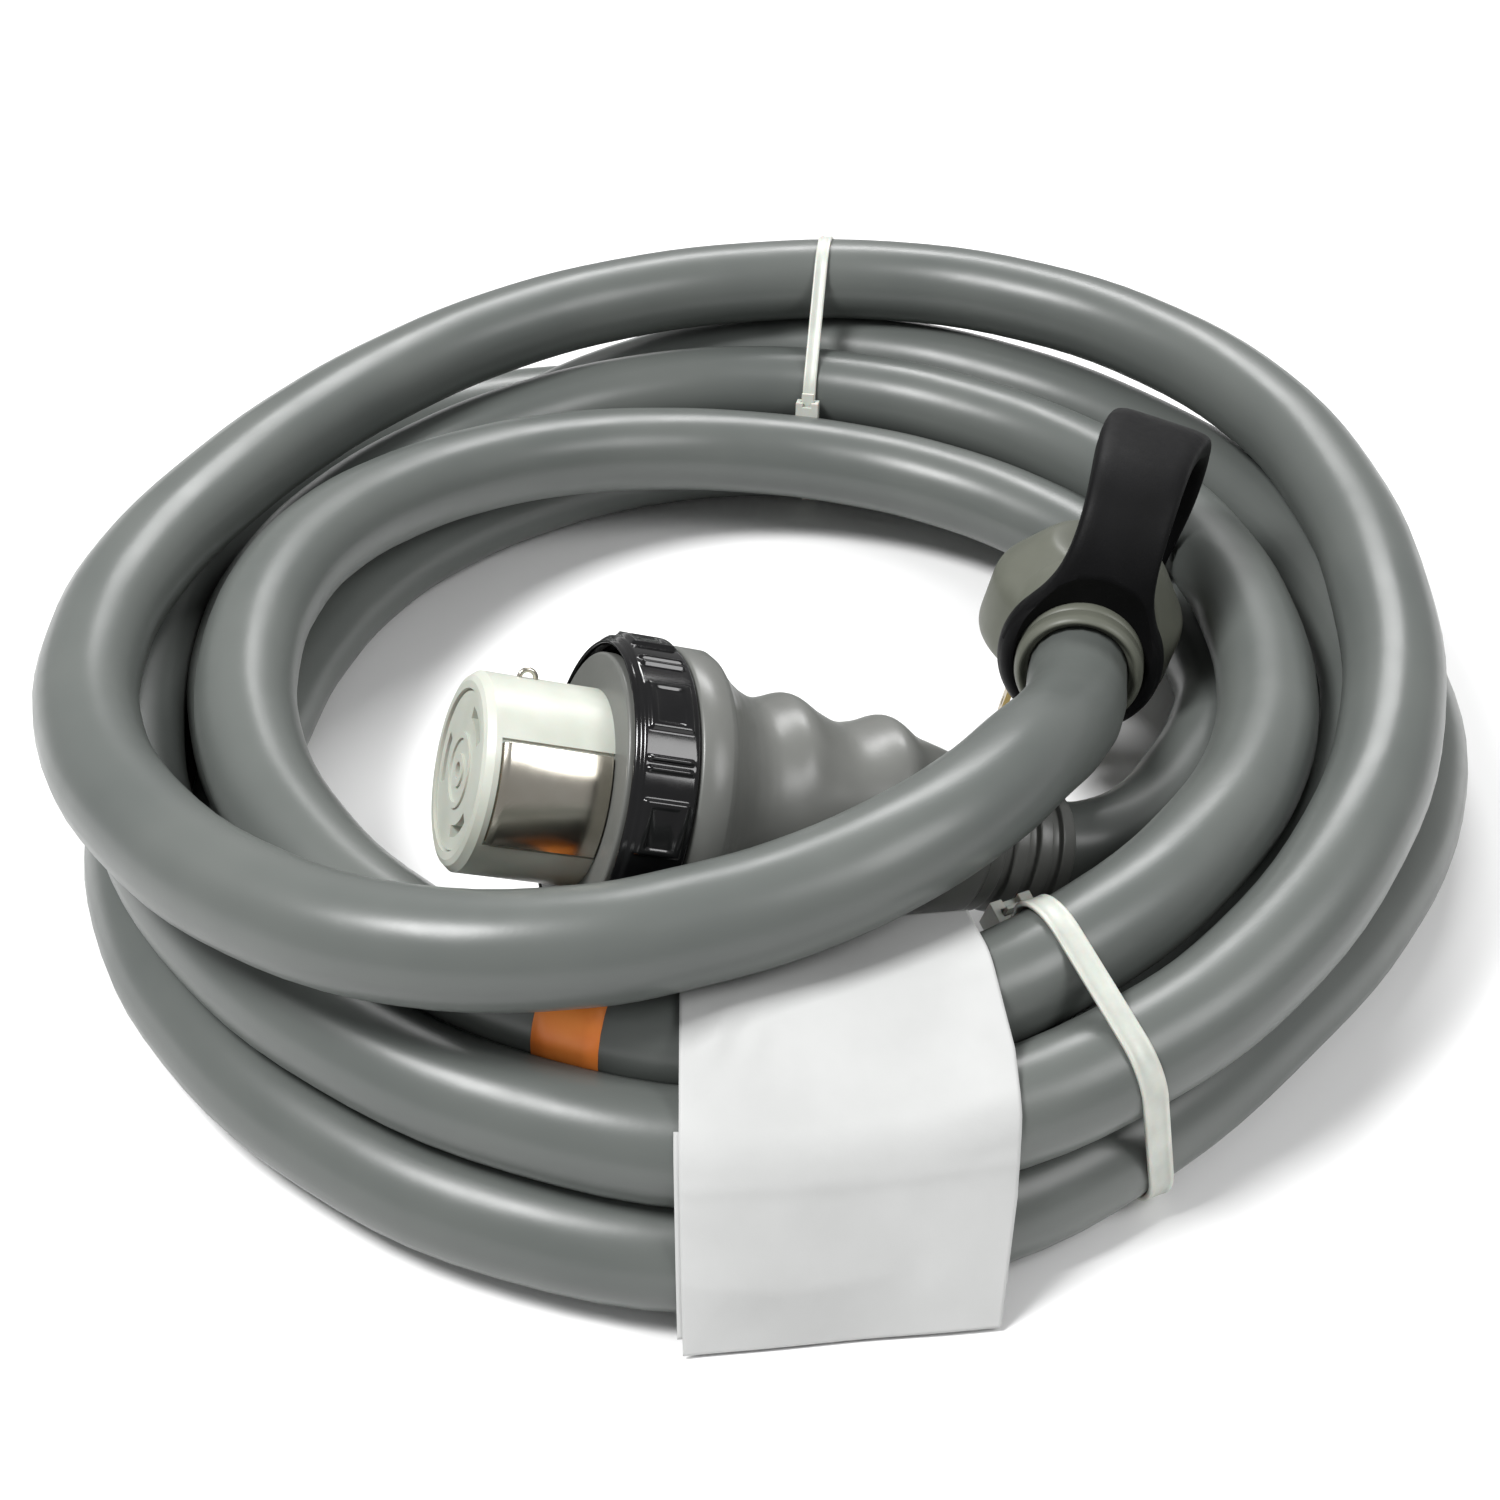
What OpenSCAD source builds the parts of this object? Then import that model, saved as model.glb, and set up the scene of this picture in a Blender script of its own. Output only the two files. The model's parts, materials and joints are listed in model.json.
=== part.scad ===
// Shore power cord: a coiled four-core cord with a right-angle plug and a locking connector.
// Millimetres, +Z up. The origin is on the floor, under the middle of the whole object.

/* [Cord] */
// Outer diameter of the cord's jacket
cord_d = 30; // [29:0.5:30]
// Diameter of one insulated conductor
conductor_d = 7; // [6:0.5:7]

/* [Coil] */
// Radius of the hole in the middle of the coil
coil_inner_r = 145; // [144:1:146]
// Outer radius of the coil
coil_outer_r = 224; // [222:1:226]
// Height of the stacked turns
coil_h = 54; // [50:1:54]

/* [Plug] */
// Radius of the plug's round body
plug_r = 31.5; // [31:0.5:32]
// Height of the plug's body above the blades
plug_h = 40; // [38:1:42]
// Distance from the body's centre to the end of its cord outlet
plug_outlet = 42; // [42:1:44]
// Length of the flat blades outside the body
blade_len = 31; // [28:1:31]
// Distance between the two line blades
blade_gap = 26; // [24:1:26]
// Diameter of the round ground pin
ground_pin_d = 4.8; // [4.5:0.1:5]
// Width of the pull handle's strap
strap_w = 30; // [28:1:31]
// Thickness of the pull handle's strap
strap_t = 9; // [8:0.5:10]
// Finger room between the handle and the body
finger_gap = 30; // [26:1:32]

/* [Connector] */
// Diameter of the white insert
insert_d = 53; // [52:0.5:54]
// Length of the insert in front of the flange
insert_len = 34; // [32:1:36]
// Outer diameter of the threaded sealing ring
ring_d = 85; // [84:0.5:86]
// Width of the sealing ring along its axis
ring_w = 17.5; // [17:0.5:18]
// Number of raised grip pads round the sealing ring
ring_pads = 8; // [6:1:10]
// Length of the connector from its face to the end of its strain relief
connector_len = 175; // [172:1:178]

/* [Ties and tag] */
// Width of the narrow rear cable tie
rear_tie_w = 4.8; // [4:0.2:5]
// Width of the wide front cable tie
front_tie_w = 7.6; // [7:0.2:8]
// Thickness of the cable tie straps
tie_t = 1.3; // [1.1:0.1:1.5]
// Width of the paper tag
tag_w = 83; // [80:1:84]
// Thickness of the folded paper tag
tag_t = 1.2; // [1:0.1:1.4]

/* [Hidden] */
$fn = 48;
run_gap = 0.05;   // clearance of a running fit
free_gap = 0.3;   // gap between the sealing ring and the boot behind it
cord_r = cord_d / 2;

// The routes and places below are measured from a point on the floor inside the coil.
// The whole object is then moved so that the middle of its box is the origin.
origin_x = 10.5;
origin_y = -16.7;

// Places of the two ends and the coil
plug_pos = [103, 5, 36];
plug_turn = [-5, 14, -12];
connector_pos = [-76, -138, 97.6];
connector_turn = [0, 70.5, 193];
connector_roll = 24;
coil_centre = [10.5, -9, 0];

// Route of the top loop, from inside the plug's outlet round the coil and down into it
top_route = [
    [101.4, -29.5, 58.4], [99.1, -41.3, 59.4], [95, -65, 66], [87, -91, 76], [75, -117.5, 86.5],
    [60, -141, 90.5], [38, -162.5, 91], [10, -179, 89], [-15, -188.5, 88], [-40, -195, 87.5],
    [-85, -190.5, 84], [-125, -169, 79], [-162, -132, 74], [-187, -88, 72], [-195, -45, 72],
    [-191, 0, 72], [-175, 47, 72], [-153, 88, 73], [-126, 126, 73], [-92, 158, 74],
    [-50, 184, 74], [0, 199, 74], [54, 200, 74], [106, 182, 74], [149, 149, 73],
    [179, 103, 72], [193, 50, 71], [195, -15, 70], [187, -70, 66], [165, -122, 60],
    [133, -162, 51], [100, -188, 46], [76, -198, 38]
];
// Route of the innermost turn, where it rises over the front of the coil
inner_route = [
    [162, 28, 38], [160, -2, 50], [148, -64, 57], [124, -124, 60], [82, -168, 58],
    [40, -189, 56], [0, -194, 55.5], [-34, -187, 56.5], [-68.5, -171, 58.5], [-99, -147, 60],
    [-122.5, -122.5, 60.5], [-144, -64, 63], [-149, 0, 63.5], [-131, 55, 58], [-102, 102, 49], [-58, 139, 36]
];
// Route of the connector's lead, from inside its boot into the coil
lead_route = [
    [27.8, -114, 59.9], [61.8, -106.2, 47.5], [85.7, -100.7, 38.9], [101, -95.6, 36], [118.5, -80, 33],
    [133, -57, 31], [146, -30, 29], [152, 0, 28], [155, 32, 28], [156, 62, 28]
];
tube_sides = 10;

// Connector lengths, measured back from its face
flange_front = insert_len;
flange_t = 4;
hub_r = 31.2;
cavity_r = 24.2;
hub_front = flange_front + flange_t;
ring_front = 34.5;
ring_back = ring_front + ring_w;
band_front = ring_back + free_gap;
band_r = 41;
boot_back = 148;
relief_r = 19;
washer_t = 2.4;
washer_r = 39.9;
washer_back = ring_back - 2;

outlet_z = 20;

function unit(v) = v / norm(v);
function tangent(p, i) = unit(p[min(i + 1, len(p) - 1)] - p[max(i - 1, 0)]);
function ring_of(c, t, r, n, up) = let(s = unit(cross(t, up)), u = cross(s, t))
    [for (k = [0 : n - 1]) c + r * (s * cos(360 * k / n) + u * sin(360 * k / n))];
function arc2(c, r, a0, a1, n) =
    [for (k = [0 : n]) [c[0] + r * cos(a0 + (a1 - a0) * k / n), c[1] + r * sin(a0 + (a1 - a0) * k / n)]];

// A round tube swept along a route
module tube(route, r, n = tube_sides, up = [0, 0, 1]) {
    rings = len(route);
    points = [for (i = [0 : rings - 1]) each ring_of(route[i], tangent(route, i), r, n, up)];
    walls = [for (i = [0 : rings - 2], k = [0 : n - 1])
        let(a = i * n + k, b = i * n + (k + 1) % n) each [[a, b, b + n], [a, b + n, a + n]]];
    start = [for (k = [1 : n - 2]) [0, k + 1, k]];
    last = (rings - 1) * n;
    end = [for (k = [1 : n - 2]) [last, last + k, last + k + 1]];
    polyhedron(concat(points), concat(walls, start, end), convexity = 6);
}

module placed() {
    translate([-origin_x, -origin_y, 0]) children();
}

module at_plug() {
    placed() translate(plug_pos) rotate(plug_turn) children();
}

module at_connector() {
    placed() translate(connector_pos) rotate(connector_turn) rotate([0, 0, connector_roll]) children();
}

// Upright slice plane through the coil at an angle: X runs outwards, Y runs up, Z across the slice
module at_slice(angle) {
    placed() rotate([90, 0, angle]) children();
}

// A ring-shaped sector: inner and outer radius, height, start angle, sweep
module sector(r_in, r_out, h, start, sweep) {
    rotate([0, 0, start]) rotate_extrude(angle = sweep) translate([r_in, 0]) square([r_out - r_in, h]);
}

// ---- Plug ----

blade_w = 12;
blade_t = 1.8;
neutral_w = 16;
neutral_y = -15;
ground_y = 15;
shank_r = 3.1;
carrier_t = 12;
carrier_r = 25;
cavity_h = 32;
outlet_r = 20;
bore_r = cord_r + 0.2;

module body_profile() {
    edge = 5;
    crown = 9;
    polygon(concat(
        [[0, 0]], arc2([plug_r - edge, edge], edge, -90, 0, 6),
        arc2([plug_r - crown, plug_h - crown], crown, 0, 80, 8), [[0, plug_h]]
    ));
}

module plug_body() {
    color([0.5, 0.53, 0.47]) at_plug() difference() {
        union() {
            rotate_extrude() body_profile();
            translate([0, 0, outlet_z]) rotate([90, 0, 0]) cylinder(r = outlet_r, h = plug_outlet);
        }
        translate([0, 0, -1]) cylinder(r = carrier_r + 0.1, h = cavity_h);
        translate([0, 0, outlet_z]) rotate([90, 0, 0]) cylinder(r = bore_r, h = plug_outlet + 1);
    }
}

module blade_slots() {
    for (x = [-1, 1]) translate([x * blade_gap / 2, 0, carrier_t / 2])
        cube([blade_t, blade_w, carrier_t + 2], center = true);
    translate([0, neutral_y, carrier_t / 2]) cube([neutral_w, blade_t, carrier_t + 2], center = true);
    translate([0, ground_y, -1]) cylinder(r = shank_r + 0.05, h = carrier_t + 2);
}

module plug_pin_carrier() {
    color([0.24, 0.25, 0.24]) at_plug() difference() {
        cylinder(r = carrier_r, h = carrier_t);
        blade_slots();
    }
}

// Flat blade with a rounded tip, in the XZ plane, reaching from -length up to the carrier's back
module blade(width) {
    tip = 4;
    rotate([90, 0, 0]) translate([0, 0, -blade_t / 2]) linear_extrude(blade_t) difference() {
        union() {
            translate([-width / 2, tip - blade_len]) square([width, blade_len + carrier_t - tip + 2]);
            translate([-width / 2 + tip, -blade_len]) square([width - 2 * tip, tip + 1]);
            for (x = [-1, 1]) translate([x * (width / 2 - tip), tip - blade_len]) circle(r = tip);
        }
        translate([0, 6 - blade_len]) circle(d = 3.4);
    }
}

module plug_line_blade_left() {
    color([0.72, 0.58, 0.28]) at_plug() translate([-blade_gap / 2, 0, 0]) rotate([0, 0, 90]) blade(blade_w);
}

module plug_line_blade_right() {
    color([0.72, 0.58, 0.28]) at_plug() translate([blade_gap / 2, 0, 0]) rotate([0, 0, 90]) blade(blade_w);
}

module plug_neutral_blade() {
    color([0.74, 0.75, 0.74]) at_plug() translate([0, neutral_y, 0]) blade(neutral_w);
}

// Round pin with a ball end, a little longer than the blades, on a thicker shank inside the carrier
module plug_ground_pin() {
    pin_r = ground_pin_d / 2;
    reach = blade_len + 3 - pin_r;
    color([0.72, 0.58, 0.28]) at_plug() translate([0, ground_y, 0]) {
        translate([0, 0, -reach]) cylinder(r = pin_r, h = reach + 1);
        translate([0, 0, -reach]) sphere(r = pin_r);
        cylinder(r = shank_r, h = carrier_t + 2);
    }
}

// The four places where a conductor meets its blade, above the pin carrier
sleeve_spots = [[-blade_gap / 2, 0], [blade_gap / 2, 0], [0, neutral_y], [0, ground_y]];
sleeve_z = carrier_t + 2;
sleeve_h = 7;

module plug_crimp_sleeves() {
    color([0.7, 0.71, 0.7]) at_plug() for (s = sleeve_spots)
        translate([s[0], s[1], sleeve_z]) cylinder(d = conductor_d, h = sleeve_h);
}

module plug_conductors() {
    rise = sleeve_z + sleeve_h;
    side = blade_gap / 2;
    cord_end = -36;
    color([0.15, 0.15, 0.15]) at_plug() {
        for (x = [-1, 1]) tube([
            [x * side, 0, rise], [x * (side - 0.5), 0, rise + 3], [x * 9, -10, rise + 3.5],
            [x * 5, -24, outlet_z + 4], [x * 4.2, cord_end, outlet_z + 4]
        ], 2.6, 8);
        tube([
            [0, ground_y, rise], [0, 13, rise + 4], [0, 4, rise + 7], [0, -12, rise + 7.4],
            [0, -24, outlet_z + 9], [0, cord_end, outlet_z + 9]
        ], 2.4, 8);
        tube([
            [0, neutral_y, rise], [0, neutral_y - 1, rise + 2.2], [0, neutral_y - 5.5, rise + 2.2],
            [0, -26, outlet_z - 2], [0, cord_end, outlet_z - 6]
        ], 2.4, 8);
    }
}

// Clamping ring in the outlet that gathers the conductors at the end of the jacket
module plug_cord_clamp_ring() {
    color([0.6, 0.6, 0.6]) at_plug() translate([0, -27, outlet_z]) rotate([90, 0, 0]) difference() {
        cylinder(r = bore_r, h = 3);
        translate([0, 0, -1]) cylinder(r = bore_r - 3, h = 5);
    }
}

collar_r = 19.5;
collar_t = 6;

module plug_cord_collar() {
    color([0.62, 0.64, 0.59]) at_plug() translate([0, -plug_outlet, outlet_z]) rotate([90, 0, 0])
        rotate_extrude() polygon([
            [cord_r + 0.6, 0], [collar_r, 0], [collar_r, collar_t - 2.5], [collar_r - 1.2, collar_t - 0.6],
            [collar_r - 2.4, collar_t], [cord_r + 1.6, collar_t - 1.2], [cord_r + 0.6, collar_t - 2.5]
        ]);
}

handle_ring_r = 25;
handle_ring_y = -33;
handle_ring_w = 9.5;
arch_top = plug_h + finger_gap;
arch_back = plug_r + 12;
front_bend = 36;
rear_bend = 26;

// Side view of the handle: drawn X is the plug's Y, drawn Y is its Z
module handle_outline() {
    front_c = [handle_ring_y - strap_t + front_bend, arch_top + strap_t - front_bend];
    rear_c = [arch_back - rear_bend, arch_top + strap_t - rear_bend];
    clear_r = plug_r + 0.2;
    difference() {
        polygon(concat(
            [[handle_ring_y - strap_t, outlet_z + 14]],
            arc2(front_c, front_bend, 180, 90, 8), arc2(rear_c, rear_bend, 90, 0, 8),
            [[arch_back, 12], [arch_back - 3, 6], [clear_r, 6], [clear_r, 16]]
        ));
        polygon(concat(
            [[handle_ring_y, outlet_z + 19]],
            arc2(front_c, front_bend - strap_t, 180, 90, 8), arc2(rear_c, rear_bend - strap_t, 90, 0, 8),
            [[arch_back - strap_t, 24], [plug_r - 4, plug_h - 3], [-plug_r + 4, plug_h - 3]]
        ));
        translate([-clear_r, -10]) square([2 * clear_r, plug_h + 10.2]);
    }
}

module plug_pull_handle() {
    color([0.07, 0.07, 0.07]) at_plug() difference() {
        union() {
            rotate([90, 0, 90]) translate([0, 0, -strap_w / 2]) linear_extrude(strap_w) handle_outline();
            translate([0, handle_ring_y, outlet_z]) rotate([90, 0, 0])
                cylinder(r = handle_ring_r, h = handle_ring_w);
        }
        translate([0, 1, outlet_z]) rotate([90, 0, 0]) cylinder(r = outlet_r + 0.1, h = plug_outlet + 8);
        translate([0, 0, -30]) cylinder(r = plug_r + 0.2, h = plug_h + 30.2);
    }
}

// ---- Connector: the face is at z = 0 and the cord leaves along -z ----

insert_r = insert_d / 2;
plate_arc = 60;
plate_in = insert_r - 1;
plate_out = insert_r;
slot_r = 16;
slot_w = 3.2;
slot_arc = 46;

module connector_insert() {
    color([0.86, 0.88, 0.82]) at_connector() difference() {
        rotate_extrude() polygon([
            [0, -insert_len - 6], [insert_r - 4, -insert_len - 6], [insert_r - 4, -insert_len],
            [insert_r, -insert_len], [insert_r, -2.5], [insert_r - 1.5, -0.6], [insert_r - 3, 0],
            [insert_r - 5, 0], [insert_r - 5.2, -1.8], [0, -1.8]
        ]);
        for (a = [30, 150, 270]) translate([0, 0, -32])
            sector(slot_r - slot_w / 2, slot_r + slot_w / 2, 33, a - slot_arc / 2, slot_arc);
        for (a = [90, 270]) translate([0, 0, -insert_len - 1])
            sector(plate_in, insert_r + 2, insert_len - 3, a - plate_arc / 2 - 2, plate_arc + 4);
        translate([0, 0, -insert_len - 7]) cylinder(r = 2.2, h = insert_len + 8);
        for (x = [-1, 1]) translate([9 * x, 0, -insert_len - 7]) cylinder(r = 1.7, h = 26);
    }
}

// Round cover plate on the face, with the three locking slots
module connector_face_cover() {
    color([0.8, 0.82, 0.78]) at_connector() translate([0, 0, -1.8]) difference() {
        union() {
            cylinder(r = insert_r - 5.6, h = 1);
            cylinder(r = 10, h = 1.6);
        }
        for (a = [30, 150, 270]) translate([0, 0, -1])
            sector(slot_r - slot_w / 2, slot_r + slot_w / 2, 4, a - slot_arc / 2, slot_arc);
        translate([0, 0, -1]) cylinder(r = 2.2, h = 4);
        translate([0, 0, 1]) difference() {
            cylinder(r = 8.4, h = 2);
            translate([0, 0, -1]) cylinder(r = 4.4, h = 4);
        }
    }
}

// One curved contact at the back of a locking slot
module slot_contact(a) {
    sweep = slot_arc - 8;
    color([0.75, 0.6, 0.3]) at_connector() translate([0, 0, -32])
        sector(slot_r - 1.1, slot_r + 1.1, 20, a - sweep / 2, sweep);
}

module connector_line_contact_a() {
    slot_contact(30);
}

module connector_line_contact_b() {
    slot_contact(150);
}

module connector_neutral_contact() {
    slot_contact(270);
}

module ground_plate(a) {
    color([0.8, 0.8, 0.78]) at_connector() translate([0, 0, -insert_len + 0.4]) {
        sector(plate_in + 0.1, plate_out, insert_len - 5.4, a - plate_arc / 2, plate_arc);
        translate([0, 0, insert_len - 6])
            sector(plate_in + 0.1, plate_out - 0.4, 1.2, a - plate_arc / 2, plate_arc);
    }
}

module connector_ground_plate_front() {
    ground_plate(90);
}

module connector_ground_plate_rear() {
    ground_plate(270);
}

// Bridge behind the insert that joins the two ground plates
module connector_ground_strap() {
    color([0.78, 0.78, 0.75]) at_connector() translate([0, 0, -insert_len - 8.2]) difference() {
        union() {
            translate([-5, -21, 0]) cube([10, 42, 2]);
            cylinder(r = 12, h = 2);
        }
        for (x = [-1, 1]) translate([9 * x, 0, -1]) cylinder(r = 1.8, h = 4);
        translate([0, 0, -1]) cylinder(r = 2.3, h = 4);
    }
}

// Small wire hook that stands out of the side of the insert
module connector_ground_hook() {
    hook_r = 2.2;
    color([0.72, 0.72, 0.7]) at_connector() rotate([0, 0, 181]) translate([insert_r + 0.02, 0, -14])
        rotate([90, 0, 0]) rotate([0, 0, -90]) rotate_extrude(angle = 180) translate([hook_r, 0])
            circle(r = 0.7, $fn = 24);
}

module connector_rear_carrier() {
    color([0.3, 0.18, 0.1]) at_connector() translate([0, 0, -insert_len - 26.5]) difference() {
        cylinder(r = 24, h = 18);
        for (a = [30, 120, 210, 300]) rotate([0, 0, a]) translate([13.5, 0, -1]) cylinder(r = 4, h = 20);
        for (x = [-1, 1]) translate([9 * x, 0, -1]) cylinder(r = 1.8, h = 20);
        for (a = [30, 120, 210, 300]) rotate([0, 0, a]) translate([13.5, 0, 9])
            rotate([0, 90, 0]) cylinder(r = 1.6, h = 12);
    }
}

module connector_terminal_screws() {
    color([0.7, 0.66, 0.5]) at_connector() translate([0, 0, -insert_len - 17.5])
        for (a = [30, 120, 210, 300]) rotate([0, 0, a]) translate([17.9, 0, 0])
            rotate([0, 90, 0]) cylinder(r = 1.5, h = 5.9);
}

module connector_assembly_screws() {
    color([0.7, 0.7, 0.7]) at_connector() for (x = [-1, 1]) translate([9 * x, 0, -insert_len - 26.5]) {
        cylinder(r = 1.6, h = 40);
        translate([0, 0, -2]) cylinder(r = 2.8, h = 2);
    }
}

module connector_conductors() {
    core_r = 3.3;
    color([0.15, 0.15, 0.15]) at_connector() for (a = [30, 120, 210, 300]) rotate([0, 0, a])
        tube([[13.5, 0, -insert_len - 19], [13.5, 0, -insert_len - 32], [8, 0, -82],
            [5.2, 0, -96], [5.2, 0, -112]], core_r, 10, [0, 1, 0]);
}

clamp_z = -122;

// Two-piece clamp on the cord's jacket inside the boot
module connector_cord_clamp() {
    color([0.66, 0.66, 0.64]) at_connector() translate([0, 0, clamp_z]) difference() {
        cylinder(r = 20.5, h = 8);
        translate([0, 0, -1]) cylinder(r = bore_r, h = 10);
        translate([-22, -0.5, -1]) cube([44, 1, 10]);
        for (x = [-1, 1]) translate([17.8 * x, 10, 4]) rotate([90, 0, 0]) cylinder(r = 1.3, h = 20);
    }
}

module connector_clamp_screws() {
    color([0.7, 0.7, 0.7]) at_connector() translate([0, 0, clamp_z + 4])
        for (x = [-1, 1]) translate([17.8 * x, 9, 0]) rotate([90, 0, 0]) cylinder(r = 1.2, h = 18);
}

flange_r = 34.2;

module connector_flange() {
    color([0.45, 0.46, 0.45]) at_connector() translate([0, 0, -hub_front]) rotate_extrude() polygon([
        [insert_r - 3.9, 0], [flange_r, 0], [flange_r, flange_t - 1.2],
        [flange_r - 1.2, flange_t], [insert_r - 3.9, flange_t]
    ]);
}

// Plain sleeve behind the flange that the slip washer and the sealing ring ride on
module connector_hub() {
    color([0.3, 0.31, 0.3]) at_connector() translate([0, 0, -band_front]) difference() {
        cylinder(r = hub_r, h = band_front - hub_front);
        translate([0, 0, -1]) cylinder(r = cavity_r, h = band_front - hub_front + 2);
    }
}

// Outside of the boot, from the band behind the sealing ring back to the strain relief
module boot_outside() {
    polygon([
        [0, -band_front], [band_r, -band_front], [band_r, -61], [39.6, -63.5], [36, -67.5], [33.4, -74],
        [32.4, -84], [32, -96], [30.6, -106], [29.6, -120], [26.6, -134], [22, -144], [20, -boot_back],
        [0, -boot_back]
    ]);
}

// Room inside the boot, which narrows to the cord
module boot_inside() {
    polygon([
        [0, 1 - band_front], [cavity_r, 1 - band_front], [cavity_r, -66], [21, -112], [21, -126],
        [bore_r, -130], [bore_r, -boot_back - 1], [0, -boot_back - 1]
    ]);
}

module connector_boot() {
    bump_r = 8;
    color([0.42, 0.43, 0.42]) at_connector() difference() {
        union() {
            rotate_extrude() boot_outside();
            for (bump = [[-89, 26.8], [-119, 24]]) translate([0, 0, bump[0]]) rotate([0, 0, 125])
                rotate_extrude(angle = 125) translate([bump[1], 0]) circle(r = bump_r);
        }
        rotate_extrude() boot_inside();
    }
}

module connector_strain_relief() {
    groove = 1.6;
    color([0.36, 0.37, 0.36]) at_connector() rotate_extrude() polygon([
        [bore_r, -boot_back], [relief_r + 0.6, -boot_back], [relief_r, -152],
        [relief_r - groove, -152.4], [relief_r - groove, -155.4], [relief_r, -155.8], [relief_r - 0.2, -160],
        [relief_r - groove, -160.4], [relief_r - groove, -163.2], [relief_r - 0.4, -163.6],
        [relief_r - 0.6, -167.6],
        [relief_r - groove - 0.4, -168], [relief_r - groove - 0.4, -170.2], [relief_r - 0.8, -170.6],
        [relief_r - 1.2, -connector_len + 1], [relief_r - 2, -connector_len], [bore_r, -connector_len]
    ]);
}

// ---- Sealing ring, free to turn and to slide forward on the hub ----

thread_r = 38.6;
thread_depth = 1.3;
thread_pitch = 2.6;
lip_r = 37;

module ring_slip_washer() {
    color([0.82, 0.82, 0.78]) at_connector() translate([0, 0, -washer_back]) difference() {
        cylinder(r = washer_r, h = washer_t);
        translate([0, 0, -1]) cylinder(r = hub_r + run_gap, h = washer_t + 2);
    }
}

module threaded_sealing_ring() {
    skin_r = ring_d / 2 - 1.2;
    crests = 3;
    color([0.03, 0.03, 0.035]) at_connector() translate([0, 0, -ring_back]) {
        rotate_extrude() polygon(concat(
            [[lip_r, 0], [skin_r - 0.8, 0], [skin_r, 0.8], [skin_r, ring_w - 2.4],
             [skin_r - 1, ring_w - 0.9], [skin_r - 2, ring_w], [thread_r + 0.4, ring_w]],
            [for (k = [0 : crests - 1]) each [
                [thread_r, ring_w - 0.6 - thread_pitch * k], [thread_r, ring_w - 1.2 - thread_pitch * k],
                [thread_r + thread_depth, ring_w - 1.9 - thread_pitch * k],
                [thread_r + thread_depth, ring_w - 2.5 - thread_pitch * k]
            ]],
            [[washer_r + run_gap, ring_w - 9.4], [washer_r + run_gap, 1.95], [lip_r, 1.95]]
        ));
        for (k = [0 : ring_pads - 1]) {
            pad_at = 360 * k / ring_pads;
            translate([0, 0, 2.2]) difference() {
                sector(skin_r - 1, skin_r + 1.2, ring_w - 5.6, pad_at - 10, 20);
                translate([0, 0, 2]) sector(skin_r + 0.7, skin_r + 2, ring_w - 9.6, pad_at - 8, 16);
            }
            for (side = [-1, 1]) translate([0, 0, 2.2])
                sector(skin_r - 1, skin_r + 0.9, ring_w - 5.6,
                    pad_at + 180 / ring_pads + side * 1.9 - 0.6, 1.2);
        }
    }
}

// Rubber seal inside the ring's mouth, in front of the slip washer
module ring_gasket() {
    color([0.12, 0.12, 0.12]) at_connector() translate([0, 0, -washer_back + washer_t + run_gap])
        rotate_extrude() polygon([[34, 0], [washer_r, 0], [washer_r, 2.6], [37.6, 3], [34, 2.4]]);
}

// ---- Cable ties: each strap goes round the turns it holds, given as [distance out, height] ----

strap_in = cord_r + 0.2;
rear_tie_angle = 82;
rear_tie_cords = [[200, 74], [201.8, 17], [152.2, 17], [152.2, 40]];
rear_head_size = 8;
rear_head_z = 30;
front_tie_angle = -64;
front_tie_cords = [[213.5, 45.5], [222, 40], [222, 17], [172.4, 17], [172.4, 57]];
front_head_size = 12;
front_head_z = 40;
tail_gap = 2.4;

// Outline of a strap: the loop, and its tail that comes back up beside the loop's inner side
module strap_outline(cords, tail_foot, tail_len) {
    face = min([for (c = cords) c[0]]) - strap_in - tie_t;
    difference() {
        hull() for (c = cords) translate(c) circle(r = strap_in + tie_t, $fn = 32);
        hull() for (c = cords) translate(c) circle(r = strap_in, $fn = 32);
    }
    polygon([
        [face, tail_foot], [face, tail_foot + tie_t + 1], [face - tail_gap, tail_foot + tail_gap + 1],
        [face - tail_gap, tail_foot + tail_len], [face - tail_gap - tie_t, tail_foot + tail_len],
        [face - tail_gap - tie_t, tail_foot + tail_gap - 0.4]
    ]);
}

// Square locking head on the strap's inner side, with a slot for the tail and a pocket for its pawl
module tie_head(cords, z, size, width) {
    face = min([for (c = cords) c[0]]) - strap_in - tie_t;
    slot_x = face - tail_gap - tie_t - 0.3;
    difference() {
        translate([face - size * 0.9, z - size / 2, -width * 0.75]) cube([size * 0.9, size, width * 1.5]);
        translate([slot_x, z - size, -width / 2 - 0.3]) cube([tie_t + 0.6, size * 2, width + 0.6]);
        translate([slot_x - size * 0.25, z - size * 0.2, -width * 0.3])
            cube([size * 0.25 + 0.1, size * 0.4, width * 0.6]);
    }
}

// Small toothed tongue in the head that locks the tail
module tie_pawl(cords, z, size, width) {
    face = min([for (c = cords) c[0]]) - strap_in - tie_t;
    slot_x = face - tail_gap - tie_t - 0.3;
    translate([slot_x - size * 0.25, z - size * 0.15, -width * 0.25])
        cube([size * 0.25, size * 0.3, width * 0.5]);
}

module rear_tie_strap() {
    color([0.85, 0.86, 0.82]) at_slice(rear_tie_angle) translate([0, 0, -rear_tie_w / 2])
        linear_extrude(rear_tie_w) strap_outline(rear_tie_cords, rear_head_z - 11, 19);
}

module rear_tie_head() {
    color([0.85, 0.86, 0.82]) at_slice(rear_tie_angle)
        tie_head(rear_tie_cords, rear_head_z, rear_head_size, rear_tie_w);
}

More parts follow.
